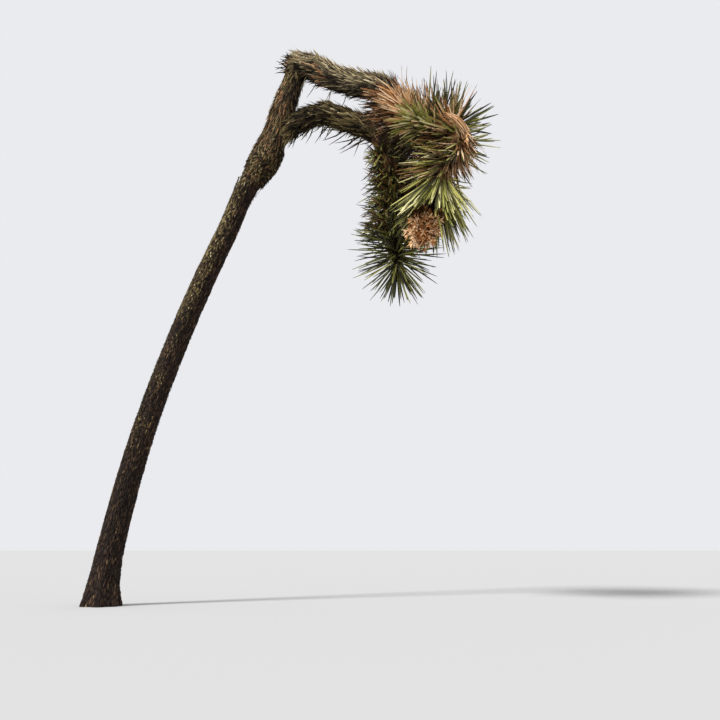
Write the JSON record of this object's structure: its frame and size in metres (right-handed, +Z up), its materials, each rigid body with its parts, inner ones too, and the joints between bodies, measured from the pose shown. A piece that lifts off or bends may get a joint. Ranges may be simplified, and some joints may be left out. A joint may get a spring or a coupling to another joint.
{
  "type": "joshua tree",
  "caption": "Leaning joshua tree with a bare trunk, a high fork and two shaggy boughs that end in hanging shoots of stiff dagger leaves.",
  "frame": {"origin": "centre of the flat cut under the trunk, at ground level", "axes": "+Z straight up, +X the way the tree leans and its boughs arch, -Y towards the side that the picture shows"},
  "size_m": [2.8734, 1.1262, 4.0543],
  "materials": {
    "bark": "dark, finely plated bark with tan flecks",
    "thatch": "shaggy thatch of old dead leaves, grey straw above and dark brown below",
    "green_leaves": "stiff matt green dagger leaves with dark tips",
    "dead_leaves": "dry tan and red-brown leaves",
    "dried_flowers": "dry orange-brown flower stalks and pods"
  },
  "bodies": {
    "root": {"trunk": "bark", "upper_bough_rise": "thatch", "upper_bough_arch": "thatch", "lower_bough": "thatch", "lower_shoot": "green_leaves", "lowest_rosette": "green_leaves", "upper_shoot": "dead_leaves", "crown_rosette": "green_leaves", "hanging_rosette": "green_leaves", "dried_flower_cluster": "dried_flowers"}
  },
  "joints": []
}
